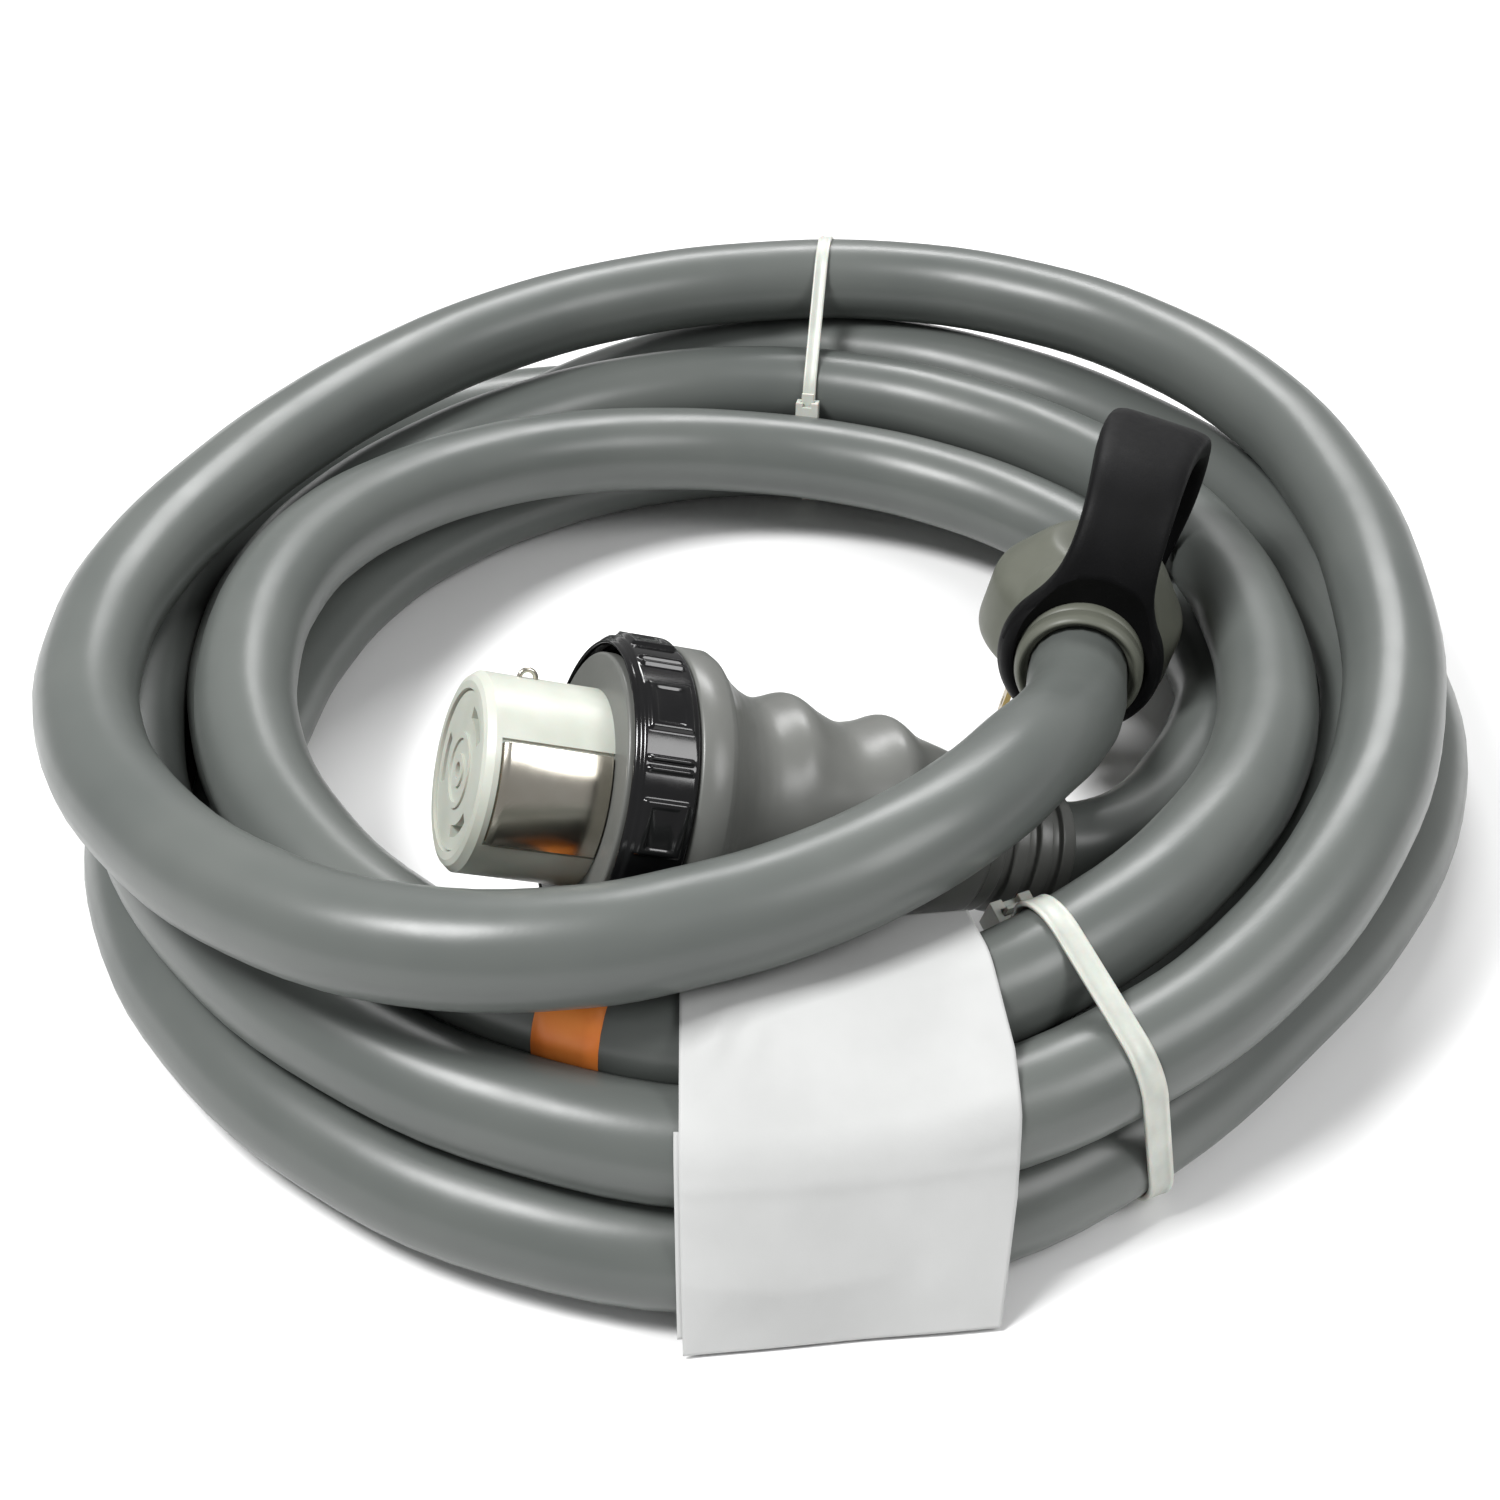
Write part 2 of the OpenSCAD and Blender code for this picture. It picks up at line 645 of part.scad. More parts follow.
module rear_tie_pawl() {
    color([0.83, 0.84, 0.8]) at_slice(rear_tie_angle)
        tie_pawl(rear_tie_cords, rear_head_z, rear_head_size, rear_tie_w);
}

module front_tie_strap() {
    color([0.88, 0.88, 0.84]) at_slice(front_tie_angle) translate([0, 0, -front_tie_w / 2])
        linear_extrude(front_tie_w) strap_outline(front_tie_cords, front_head_z - 14, 26);
}

module front_tie_head() {
    color([0.88, 0.88, 0.84]) at_slice(front_tie_angle)
        tie_head(front_tie_cords, front_head_z, front_head_size, front_tie_w);
}

module front_tie_pawl() {
    color([0.86, 0.86, 0.82]) at_slice(front_tie_angle)
        tie_pawl(front_tie_cords, front_head_z, front_head_size, front_tie_w);
}

// ---- Tag and label ----

tag_x = 23;

// Outer face of the tag from the side: drawn X is Y, drawn Y is Z; it hangs over the front of the coil
tag_line = [
    [-172, 73], [-184, 73.5], [-197, 73.5], [-212, 71], [-228, 63.5], [-239, 52],
    [-245, 36], [-247.5, 20], [-249, 8], [-250, 1]
];

function beside(p, i, gap) =
    let(t = unit(p[min(i + 1, len(p) - 1)] - p[max(i - 1, 0)])) p[i] + gap * [-t[1], t[0]];

module folded_tag() {
    color([0.93, 0.93, 0.92]) placed() rotate([90, 0, 90]) translate([0, 0, tag_x - tag_w / 2])
        linear_extrude(tag_w) polygon(concat(
            tag_line, [for (k = [len(tag_line) - 1 : -1 : 0]) beside(tag_line, k, tag_t)]
        ));
}

label_angle = -106;
label_w = 19;

module cord_label() {
    color([0.93, 0.5, 0.12]) placed() rotate([90, 0, label_angle]) translate([188.5, 57.2, -label_w / 2])
        difference() {
            cylinder(r = cord_r + 0.5, h = label_w);
            translate([0, 0, -1]) cylinder(r = cord_r - 0.8, h = label_w + 2);
        }
}

// ---- Cord ----

module cord_top_loop() {
    color([0.47, 0.49, 0.47]) placed() tube(top_route, cord_r);
}

module cord_inner_turn() {
    color([0.45, 0.47, 0.45]) placed() tube(inner_route, cord_r);
}

module cord_connector_lead() {
    color([0.35, 0.36, 0.35]) placed() tube(lead_route, cord_r);
}

module cord_coil() {
    edge = 14;
    shoulder = 30;
    color([0.45, 0.47, 0.45]) placed() translate(coil_centre) rotate_extrude($fn = 96) polygon(concat(
        arc2([coil_outer_r - edge, edge], edge, -90, 0, 4),
        arc2([coil_outer_r - edge, coil_h - edge], edge, 0, 90, 4),
        arc2([coil_inner_r + shoulder, coil_h - shoulder], shoulder, 90, 180, 8),
        arc2([coil_inner_r + edge, edge], edge, 180, 270, 4)
    ));
}

plug_body();
plug_pin_carrier();
plug_line_blade_left();
plug_line_blade_right();
plug_neutral_blade();
plug_ground_pin();
plug_crimp_sleeves();
plug_conductors();
plug_cord_clamp_ring();
plug_cord_collar();
plug_pull_handle();
connector_insert();
connector_face_cover();
connector_line_contact_a();
connector_line_contact_b();
connector_neutral_contact();
connector_ground_plate_front();
connector_ground_plate_rear();
connector_ground_strap();
connector_ground_hook();
connector_rear_carrier();
connector_terminal_screws();
connector_assembly_screws();
connector_conductors();
connector_cord_clamp();
connector_clamp_screws();
connector_flange();
connector_hub();
connector_boot();
connector_strain_relief();
ring_slip_washer();
threaded_sealing_ring();
ring_gasket();
rear_tie_strap();
rear_tie_head();
rear_tie_pawl();
front_tie_strap();
front_tie_head();
front_tie_pawl();
folded_tag();
cord_label();
cord_top_loop();
cord_inner_turn();
cord_coil();
cord_connector_lead();
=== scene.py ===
"""Shore power cord: the coiled cord, its plug and its connector on a pale floor. Metres, +Z up."""
import json
import math

import bmesh
import bpy
from mathutils import Matrix, Vector


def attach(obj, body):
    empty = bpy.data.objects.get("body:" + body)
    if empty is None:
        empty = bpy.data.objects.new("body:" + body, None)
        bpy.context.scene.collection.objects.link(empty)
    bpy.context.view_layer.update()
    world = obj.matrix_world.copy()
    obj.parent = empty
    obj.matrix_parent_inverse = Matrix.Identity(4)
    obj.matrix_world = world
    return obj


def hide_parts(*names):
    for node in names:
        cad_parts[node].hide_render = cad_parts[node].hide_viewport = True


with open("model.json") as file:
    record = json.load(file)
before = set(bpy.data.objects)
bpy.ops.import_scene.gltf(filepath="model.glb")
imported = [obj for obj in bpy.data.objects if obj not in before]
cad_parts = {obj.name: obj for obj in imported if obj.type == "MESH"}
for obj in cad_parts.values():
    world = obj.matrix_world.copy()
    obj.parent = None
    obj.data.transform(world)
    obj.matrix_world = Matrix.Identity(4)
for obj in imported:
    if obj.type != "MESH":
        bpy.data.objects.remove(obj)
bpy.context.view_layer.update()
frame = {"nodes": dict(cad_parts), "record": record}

scene = bpy.context.scene
MM = 0.001

# The routes and places are measured in mm from a point on the floor inside the coil.
# The object is then moved so that the middle of its box is the origin.
ORIGIN = Vector((10.5, -16.7, 0))


def at(p):
    """The place in metres of a point measured in mm."""
    return (Vector(p) - ORIGIN) * MM


# ---- Curves ----


def smooth_step(x):
    """0 up to 0, 1 from 1 on, and a soft rise between them."""
    x = min(max(x, 0.0), 1.0)
    return x * x * (3 - 2 * x)


def bell(x, middle, width):
    """1 at the middle, falling softly to almost 0 at twice the width from it."""
    return math.exp(-((x - middle) / width) ** 2)


def catmull(points, steps):
    """A smooth line through the points, with so many steps between each two of them."""
    out = []
    n = len(points)
    for i in range(n - 1):
        a, b, c, d = (Vector(points[min(max(i + k, 0), n - 1)]) for k in (-1, 0, 1, 2))
        for k in range(steps):
            t = k / steps
            q = 2 * b + (c - a) * t + (2 * a - 5 * b + 4 * c - d) * t * t
            out.append(0.5 * (q + (3 * b - a - 3 * c + d) * t ** 3))
    out.append(Vector(points[-1]))
    return out


def convex(points):
    """The flat points on the outer line round all the points, anticlockwise."""
    pts = sorted({(round(x, 4), round(y, 4)) for x, y in points})

    def half(seq):
        out = []
        for x, y in seq:
            while len(out) > 1:
                (x1, y1), (x2, y2) = out[-2:]
                if (x2 - x1) * (y - y1) - (y2 - y1) * (x - x1) > 0:
                    break
                out.pop()
            out.append((x, y))
        return out[:-1]

    return [Vector(q) for q in half(pts) + half(pts[::-1])]


def circle_points(centres, radius, start, stop, step):
    """Points round each of the flat circles between two angles."""
    return [(x + radius * math.cos(math.radians(k)), y + radius * math.sin(math.radians(k)))
            for x, y in centres for k in range(start, stop, step)]


# ---- Camera ----

CAM_ELEVATION = 37
CAM_DISTANCE = 765
LENS = 55.2

elevation = math.radians(CAM_ELEVATION)
cam_data = bpy.data.cameras.new("camera")
cam_data.lens = LENS
cam_data.sensor_width = 36
cam_data.clip_start = 0.01
camera = bpy.data.objects.new("camera", cam_data)
scene.collection.objects.link(camera)
camera.location = at((0, -CAM_DISTANCE * math.cos(elevation), CAM_DISTANCE * math.sin(elevation)))
camera.rotation_euler = (math.radians(90 - CAM_ELEVATION), 0, 0)
scene.camera = camera

# ---- Frames of the two ends ----


def turned(place, turn, roll=0):
    """A frame in mm at the place, rolled about its own Z axis and turned about X, Y and Z."""
    x, y, z = (math.radians(v) for v in turn)
    m = Matrix.Rotation(z, 4, "Z") @ Matrix.Rotation(y, 4, "Y") @ Matrix.Rotation(x, 4, "X")
    m = m @ Matrix.Rotation(math.radians(roll), 4, "Z")
    return Matrix.Translation(at(place)) @ m @ Matrix.Scale(MM, 4)


# Z runs up from the plug's blades to its dome, and out through the connector's face.
PLUG = turned((103, 5, 36), (-5, 14, -12))
CONNECTOR = turned((-76, -138, 97.6), (0, 70.5, 193), 24)
OUTLET_Z = 20

# ---- Cord route ----

TOP_ROUTE = [
    (101.4, -29.5, 58.4), (99.1, -41.3, 59.4), (95, -65, 66), (87, -91, 76), (75, -117.5, 86.5),
    (60, -141, 90.5), (38, -162.5, 91), (10, -179, 89), (-15, -188.5, 88), (-40, -195, 87.5),
    (-85, -190.5, 84), (-125, -169, 79), (-162, -132, 74), (-187, -88, 72), (-195, -45, 72),
    (-191, 0, 72), (-175, 47, 72), (-153, 88, 73), (-126, 126, 73), (-92, 158, 74),
    (-50, 184, 74), (0, 199, 74), (54, 200, 74), (106, 182, 74), (149, 149, 73),
    (179, 103, 72), (193, 50, 71), (195, -15, 70), (187, -70, 66), (165, -122, 60),
    (133, -162, 51), (100, -188, 46), (55, -210, 43),
]
# (distance out, height) of the turns at every 45 degrees, from the front clockwise as seen from above
TURNS = [
    (219, 42), (203, 43), (193, 42), (214, 29), (212, 16), (214, 16), (216, 18), (205, 16),
    (229, 16), (212, 16), (190, 16), (180, 22), (200, 43), (198, 43), (196, 41), (192, 38),
    (196, 17), (184, 16), (157, 16), (158, 16), (167, 16), (172, 16), (180, 16), (170, 17),
    (170, 34), (163, 38), (163, 42), (166, 42), (174, 43), (168, 43), (159, 52), (175, 60),
    (194, 55.5), (173.5, 60.5), (149, 64), (138, 50), (139, 34), (142, 29), (153, 27),
]
LEAD_ROUTE = [
    (146, -30, 29), (133, -57, 31), (118.5, -80, 33), (101, -95.6, 36), (85.7, -100.7, 38.9),
    (61.8, -106.2, 47.5),
]


def turns_route(turns, per_step):
    """The turns' stations joined smoothly, with per_step points to each step of 45 degrees."""
    out = []
    for i, (far, up) in enumerate(catmull(turns, per_step)):
        a = math.radians(-90 - 45 * i / per_step)
        out.append((far * math.cos(a), far * math.sin(a), up))
    return out


CORD_D = 30
ROUTE = TOP_ROUTE + turns_route(TURNS, 3) + LEAD_ROUTE
CORD_LINE = catmull(ROUTE, 6)

# ---- Materials ----


def material(name, colour, rough=0.5, metallic=0.0, specular=0.5, **sockets):
    m = bpy.data.materials.new(name)
    m.use_nodes = True
    b = m.node_tree.nodes["Principled BSDF"]
    b.inputs["Base Color"].default_value = (*colour, 1)
    b.inputs["Roughness"].default_value = rough
    b.inputs["Metallic"].default_value = metallic
    b.inputs["Specular IOR Level"].default_value = specular
    for k, v in sockets.items():
        b.inputs[k.replace("_", " ")].default_value = v
    return m


def texture(m, kind, scale, stretch=(1, 1, 1), detail=4):
    """The output of a texture of the kind, in the piece's own coordinates and stretched."""
    nt = m.node_tree
    co = nt.nodes.new("ShaderNodeTexCoord")
    mp = nt.nodes.new("ShaderNodeMapping")
    mp.inputs["Scale"].default_value = stretch
    tx = nt.nodes.new("ShaderNodeTex" + kind)
    tx.inputs["Scale"].default_value = scale
    if "Detail" in tx.inputs:
        tx.inputs["Detail"].default_value = detail
    nt.links.new(co.outputs["Object"], mp.inputs["Vector"])
    nt.links.new(mp.outputs["Vector"], tx.inputs["Vector"])
    return tx.outputs["Fac"] if "Fac" in tx.outputs else tx.outputs[0]


def vary_colour(m, fac, low, high):
    """Cloud the base colour between two colours, and give the node that does it."""
    nt = m.node_tree
    r = nt.nodes.new("ShaderNodeValToRGB")
    r.color_ramp.elements[0].position = 0.3
    r.color_ramp.elements[0].color = (*low, 1)
    r.color_ramp.elements[1].position = 0.7
    r.color_ramp.elements[1].color = (*high, 1)
    nt.links.new(fac, r.inputs["Fac"])
    nt.links.new(r.outputs["Color"], nt.nodes["Principled BSDF"].inputs["Base Color"])
    return r


def shade_below(m, colour, shade_colour, low, high):
    """Mix towards a painted shade colour, darker and browner, below two heights: painted shade on the
    underside.
    """
    nt = m.node_tree
    co = nt.nodes.new("ShaderNodeTexCoord")
    split = nt.nodes.new("ShaderNodeSeparateXYZ")
    span = nt.nodes.new("ShaderNodeMapRange")
    span.inputs["From Min"].default_value = low
    span.inputs["From Max"].default_value = high
    mix = nt.nodes.new("ShaderNodeMix")
    mix.data_type = "RGBA"
    mix.inputs["A"].default_value = (*shade_colour, 1)
    nt.links.new(co.outputs["Object"], split.inputs["Vector"])
    nt.links.new(split.outputs["Z"], span.inputs["Value"])
    nt.links.new(span.outputs["Result"], mix.inputs["Factor"])
    nt.links.new(colour, mix.inputs["B"])
    nt.links.new(mix.outputs["Result"], nt.nodes["Principled BSDF"].inputs["Base Color"])


def vary_rough(m, fac, low, high):
    nt = m.node_tree
    r = nt.nodes.new("ShaderNodeMapRange")
    r.inputs["To Min"].default_value = low
    r.inputs["To Max"].default_value = high
    nt.links.new(fac, r.inputs["Value"])
    nt.links.new(r.outputs["Result"], nt.nodes["Principled BSDF"].inputs["Roughness"])


def bump(m, fac, strength, distance):
    """Add a fine relief on top of the ones that the material has."""
    nt = m.node_tree
    b = nt.nodes.new("ShaderNodeBump")
    b.inputs["Strength"].default_value = strength
    b.inputs["Distance"].default_value = distance
    nt.links.new(fac, b.inputs["Height"])
    bsdf = nt.nodes["Principled BSDF"]
    if bsdf.inputs["Normal"].is_linked:
        nt.links.new(bsdf.inputs["Normal"].links[0].from_socket, b.inputs["Normal"])
    nt.links.new(b.outputs["Normal"], bsdf.inputs["Normal"])


def jacket():
    m = material("cord_jacket", (0.1, 0.107, 0.103), 0.33, specular=0.42)
    cloud = texture(m, "Noise", 14, detail=3)
    vary_colour(m, cloud, (0.090, 0.099, 0.094), (0.112, 0.121, 0.114))
    vary_rough(m, texture(m, "Noise", 60, detail=5), 0.27, 0.40)
    bump(m, texture(m, "Noise", 900, detail=2), 0.05, 0.0002)
    bump(m, texture(m, "Noise", 90, detail=2), 0.05, 0.001)
    return m


def boot_rubber():
    m = material("boot_rubber", (0.125, 0.128, 0.12), 0.34, specular=0.45)
    vary_colour(m, texture(m, "Noise", 30, detail=4), (0.112, 0.115, 0.108), (0.140, 0.143, 0.134))
    vary_rough(m, texture(m, "Noise", 120, detail=6), 0.28, 0.42)
    bump(m, texture(m, "Noise", 700, detail=3), 0.08, 0.0002)
    return m


def shell_plastic():
    m = material("plug_shell", (0.11, 0.115, 0.092), 0.44, specular=0.35)
    vary_colour(m, texture(m, "Noise", 45, detail=5), (0.098, 0.103, 0.082), (0.122, 0.127, 0.103))
    vary_rough(m, texture(m, "Noise", 200, detail=5), 0.36, 0.5)
    bump(m, texture(m, "Noise", 1500, detail=2), 0.1, 0.0001)
    return m


def black_rubber():
    m = material("black_rubber", (0.0028, 0.0028, 0.003), 0.5, specular=0.12)
    vary_colour(m, texture(m, "Noise", 60, detail=5), (0.0025, 0.0025, 0.0028), (0.005, 0.005, 0.0055))
    vary_rough(m, texture(m, "Noise", 300, detail=6), 0.45, 0.65)
    bump(m, texture(m, "Voronoi", 1400), 0.12, 0.0002)
    return m


def gloss_black():
    m = material("gloss_black", (0.003, 0.003, 0.0034), 0.12, specular=0.45,
                 Coat_Weight=0.15, Coat_Roughness=0.06)
    vary_colour(m, texture(m, "Noise", 80, detail=5), (0.002, 0.002, 0.0024), (0.005, 0.005, 0.0056))
    vary_rough(m, texture(m, "Noise", 150, detail=8), 0.08, 0.18)
    bump(m, texture(m, "Noise", 500, detail=3), 0.03, 0.0002)
    return m


def white_nylon():
    m = material("white_nylon", (0.70, 0.73, 0.66), 0.36, specular=0.5,
                 Subsurface_Weight=0.15, Subsurface_Scale=0.004)
    tint = vary_colour(m, texture(m, "Noise", 50, detail=6), (0.43, 0.45, 0.39), (0.52, 0.54, 0.485))
    # Painted shade: the nylon goes darker and browner towards the bottom.
    shade_below(m, tint.outputs["Color"], (0.42, 0.34, 0.17), 0.056, 0.078)
    vary_rough(m, texture(m, "Noise", 200, detail=5), 0.28, 0.45)
    bump(m, texture(m, "Noise", 900, detail=3), 0.06, 0.0002)
    return m


def nickel():
    m = material("nickel", (0.66, 0.64, 0.57), 0.2, 1.0)
    vary_colour(m, texture(m, "Noise", 40, detail=6), (0.50, 0.46, 0.38), (0.64, 0.61, 0.54))
    vary_rough(m, texture(m, "Noise", 120, detail=8), 0.12, 0.3)
    bump(m, texture(m, "Noise", 500, stretch=(1, 1, 12), detail=3), 0.03, 0.0002)
    return m


def brass():
    m = material("brass", (0.65, 0.47, 0.18), 0.28, 1.0)
    vary_colour(m, texture(m, "Noise", 60, detail=6), (0.24, 0.18, 0.07), (0.38, 0.29, 0.12))
    vary_rough(m, texture(m, "Noise", 200, detail=8), 0.2, 0.42)
    bump(m, texture(m, "Noise", 900, detail=3), 0.05, 0.0002)
    return m


def zinc():
    m = material("zinc", (0.5, 0.5, 0.5), 0.35, 1.0)
    vary_colour(m, texture(m, "Noise", 80, detail=6), (0.42, 0.42, 0.43), (0.56, 0.56, 0.56))
    vary_rough(m, texture(m, "Noise", 200, detail=8), 0.28, 0.5)
    return m


def dark_plastic():
    m = material("dark_plastic", (0.05, 0.05, 0.05), 0.45)
    vary_colour(m, texture(m, "Noise", 70, detail=5), (0.04, 0.04, 0.04), (0.065, 0.065, 0.062))
    vary_rough(m, texture(m, "Noise", 300, detail=5), 0.38, 0.55)
    return m


def wire_insulation():
    m = material("wire_insulation", (0.02, 0.02, 0.02), 0.35)
    vary_colour(m, texture(m, "Noise", 60, detail=4), (0.015, 0.015, 0.015), (0.03, 0.03, 0.03))
    return m


def tie_nylon():
    m = material("tie_nylon", (0.62, 0.64, 0.58), 0.38, specular=0.5,
                 Subsurface_Weight=0.25, Subsurface_Scale=0.003)
    vary_colour(m, texture(m, "Noise", 90, detail=5), (0.44, 0.46, 0.42), (0.56, 0.58, 0.53))
    vary_rough(m, texture(m, "Noise", 250, detail=5), 0.3, 0.46)
    return m


def tag_paper():
    m = material("tag_paper", (0.5, 0.505, 0.5), 0.6, specular=0.3)
    vary_colour(m, texture(m, "Noise", 25, detail=8), (0.47, 0.475, 0.47), (0.54, 0.545, 0.54))
    vary_rough(m, texture(m, "Noise", 60, detail=4), 0.52, 0.72)
    bump(m, texture(m, "Noise", 45, detail=3), 0.25, 0.0015)
    bump(m, texture(m, "Noise", 1200, detail=4), 0.15, 0.0001)
    return m


def orange_label():
    m = material("orange_label", (0.80, 0.20, 0.02), 0.4, specular=0.5)
    vary_colour(m, texture(m, "Noise", 60, detail=5), (0.80, 0.20, 0.03), (0.92, 0.30, 0.05))
    vary_rough(m, texture(m, "Noise", 200, detail=5), 0.32, 0.5)
    return m


MATERIALS = {
    "cord_jacket": jacket(), "grey_rubber": boot_rubber(), "plug_shell": shell_plastic(),
    "black_rubber": black_rubber(), "gloss_black": gloss_black(), "white_nylon": white_nylon(),
    "nickel": nickel(), "brass": brass(), "zinc": zinc(), "dark_plastic": dark_plastic(),
    "wire_insulation": wire_insulation(), "tie_nylon": tie_nylon(), "tag_paper": tag_paper(),
    "orange_label": orange_label(),
}

slots = {s["node"]: s["material_slot"] for s in frame["record"]["subparts"]}
for name, obj in frame["nodes"].items():
    obj.data.materials.clear()
    obj.data.materials.append(MATERIALS[slots[name]])

# ---- Piece and mesh helpers ----


def finish_piece(obj, slot, body="cord_set"):
    """Give the piece its material and the body that it moves with."""
    obj.data.materials.append(MATERIALS[slot])
    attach(obj, body)


def mesh_object(name, verts, faces, smooth=True):
    """An object of the points and faces, with its faces turned outwards."""
    mesh = bpy.data.meshes.new(name)
    mesh.from_pydata([tuple(v) for v in verts], [], faces)
    mesh.validate()
    for poly in mesh.polygons:
        poly.use_smooth = smooth
    obj = bpy.data.objects.new(name, mesh)
    scene.collection.objects.link(obj)
    b = bmesh.new()
    b.from_mesh(mesh)
    bmesh.ops.recalc_face_normals(b, faces=b.faces)
    b.to_mesh(mesh)
    b.free()
    return obj


def eased(points, radius, steps=4):
    """The polygon with its corners rounded off."""
    out = []
    n = len(points)
    for i in range(n):
        p, before, after = (Vector(points[j % n]) for j in (i, i - 1, i + 1))
        start = p + (before - p).normalized() * min(radius, (before - p).length * 0.45)
        end = p + (after - p).normalized() * min(radius, (after - p).length * 0.45)
        for k in range(steps + 1):
            t = k / steps
            out.append(tuple(start * (1 - t) ** 2 + p * 2 * t * (1 - t) + end * t * t))
    return out


def quad(a, b, j, n):
    """The face between points j and j + 1 of ring a and of ring b, where each ring has n points."""
    following = (j + 1) % n
    return a * n + j, a * n + following, b * n + following, b * n + j


def skinned(name, verts, n, closed):
    """A skin over rings of n points, closed on itself or with a face on each end."""
    rings = len(verts) // n
    faces = [quad(i, (i + 1) % rings, j, n) for i in range(rings if closed else rings - 1) for j in range(n)]
    if not closed:
        faces.append(tuple(range(n)))
        faces.append(tuple(reversed(range((rings - 1) * n, rings * n))))
    return mesh_object(name, verts, faces)


def turned_solid(name, profile, place, segs=128, shape=None, start=0.0, sweep=360.0):
    """A closed profile of (along the axis, radius) points turned about the frame's Z axis."""
    full = sweep >= 360
    verts = []
    for k in range(segs if full else segs + 1):
        a = math.radians(start + sweep * k / segs)
        for z, r in profile:
            if shape:
                r = shape(z, r, math.degrees(a) % 360)
            verts.append(place @ Vector((r * math.cos(a), r * math.sin(a), z)))
    return skinned(name, verts, len(profile), full)


def swept(name, sections, closed=False):
    """A skin over a list of rings of points."""
    return skinned(name, [p for ring in sections for p in ring], len(sections[0]), closed)


def ball(name, place, radii, segs):
    """An ellipsoid in the frame, with its poles on the frame's Y axis."""
    turn = [2 * math.pi * j / segs for j in range(segs)]
    rings = []
    for a in turn[1:segs // 2]:
        x, y, z = radii[0] * math.sin(a), radii[1] * math.cos(a), radii[2] * math.sin(a)
        rings.append([place @ Vector((x * math.cos(b), y, z * math.sin(b))) for b in turn])
    return swept(name, rings)


def block(name, place, low, high):
    """A box between two corners in the frame."""
    verts = [place @ Vector((x, y, z))
             for x in (low[0], high[0]) for y in (low[1], high[1]) for z in (low[2], high[2])]
    faces = [(0, 1, 3, 2), (4, 6, 7, 5), (0, 4, 5, 1), (2, 3, 7, 6), (0, 2, 6, 4), (1, 5, 7, 3)]
    return mesh_object(name, verts, faces, smooth=False)


def combine(obj, operation, *others):
    """Join the other solids to the piece, or cut them out of it."""
    for other in others:
        mod = obj.modifiers.new("combine", "BOOLEAN")
        mod.operation = operation
        mod.solver = "EXACT"
        mod.object = other
    deps = bpy.context.evaluated_depsgraph_get()
    mesh = bpy.data.meshes.new_from_object(obj.evaluated_get(deps))
    obj.modifiers.clear()
    obj.data = mesh
    for poly in mesh.polygons:
        poly.use_smooth = True
    for other in others:
        bpy.data.objects.remove(other)


def soften(obj, width, segments=3, angle=30):
    """Round the edges of the piece that are sharper than the angle."""
    mod = obj.modifiers.new("soften", "BEVEL")
    mod.width = width * MM
    mod.segments = segments
    mod.limit_method = "ANGLE"
    mod.angle_limit = math.radians(angle)
    mod.harden_normals = True


# ---- Cord ----

curve = bpy.data.curves.new("cord", "CURVE")
curve.dimensions = "3D"
curve.resolution_u = 5
curve.bevel_depth = CORD_D / 2 * MM
curve.bevel_resolution = 8
curve.use_fill_caps = True
spline = curve.splines.new("BEZIER")
spline.bezier_points.add(len(ROUTE) - 1)
for bp, p in zip(spline.bezier_points, ROUTE):
    bp.co = at(p)
    bp.handle_left_type = bp.handle_right_type = "AUTO"
cord = bpy.data.objects.new("cord", curve)
scene.collection.objects.link(cord)
finish_piece(cord, "cord_jacket")
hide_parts("cord_top_loop", "cord_inner_turn", "cord_coil", "cord_connector_lead")

# ---- Plug ----

BODY_R = 31.5
BODY_H = 40
CORE_R = CORD_D / 2 + 0.3
NECK_END = 42


def plug_lobe(z, r, a):
    """The body is drawn out a little towards the cord."""
    lean = max(0.0, math.cos(math.radians(a - 270)))
    return r * (1 + 0.035 * lean ** 2 * smooth_step((36 - z) / 12))


OUTLET = PLUG @ Matrix.Translation((0, 0, OUTLET_Z)) @ Matrix.Rotation(math.radians(90), 4, "X")
skirt = eased([(0, 6), (0, BODY_R - 3), (3, BODY_R), (23, BODY_R), (38.5, BODY_R - 12),
               (BODY_H, BODY_R - 15), (BODY_H, 6)], 4, 6)
# The skin goes on to the axis at both ends, so that the dome is closed.
dome = [(0, 0.05)] + [p for p in skirt if p[1] > 10.5] + [(BODY_H, 0.05)]
body = turned_solid("plug_body_shell", dome, PLUG, 128, plug_lobe)
neck = eased([(12, 15.4), (12, 23), (27, 22.5), (33, 20), (NECK_END, 20), (NECK_END, 15.4)], 3, 4)
outlet = turned_solid("plug_outlet_shell", neck, OUTLET, 96)
combine(body, "UNION", outlet)
# The cord's way in, and the room for the pin carrier
core = turned_solid("core", eased([(8, 0.2), (8, CORE_R), (60, CORE_R), (60, 0.2)], 0.1, 1), OUTLET, 64)
hollow = turned_solid("hollow", [(-2, 0.02), (-2, 24.9), (31, 24.9), (31, 0.02)], PLUG, 96)
combine(body, "DIFFERENCE", core, hollow)
finish_piece(body, "plug_shell")
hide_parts("plug_body")

collar_line = eased([(NECK_END, 15.1), (NECK_END, 19.5), (45.6, 19.5), (47.1, 18.8), (47.9, 17.9),
                     (47.4, 17.1), (45.4, 16.4), (44.9, 15.1)], 0.5, 3)
collar = turned_solid("plug_collar_ring", collar_line, OUTLET, 112)
finish_piece(collar, "plug_shell")
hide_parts("plug_cord_collar")

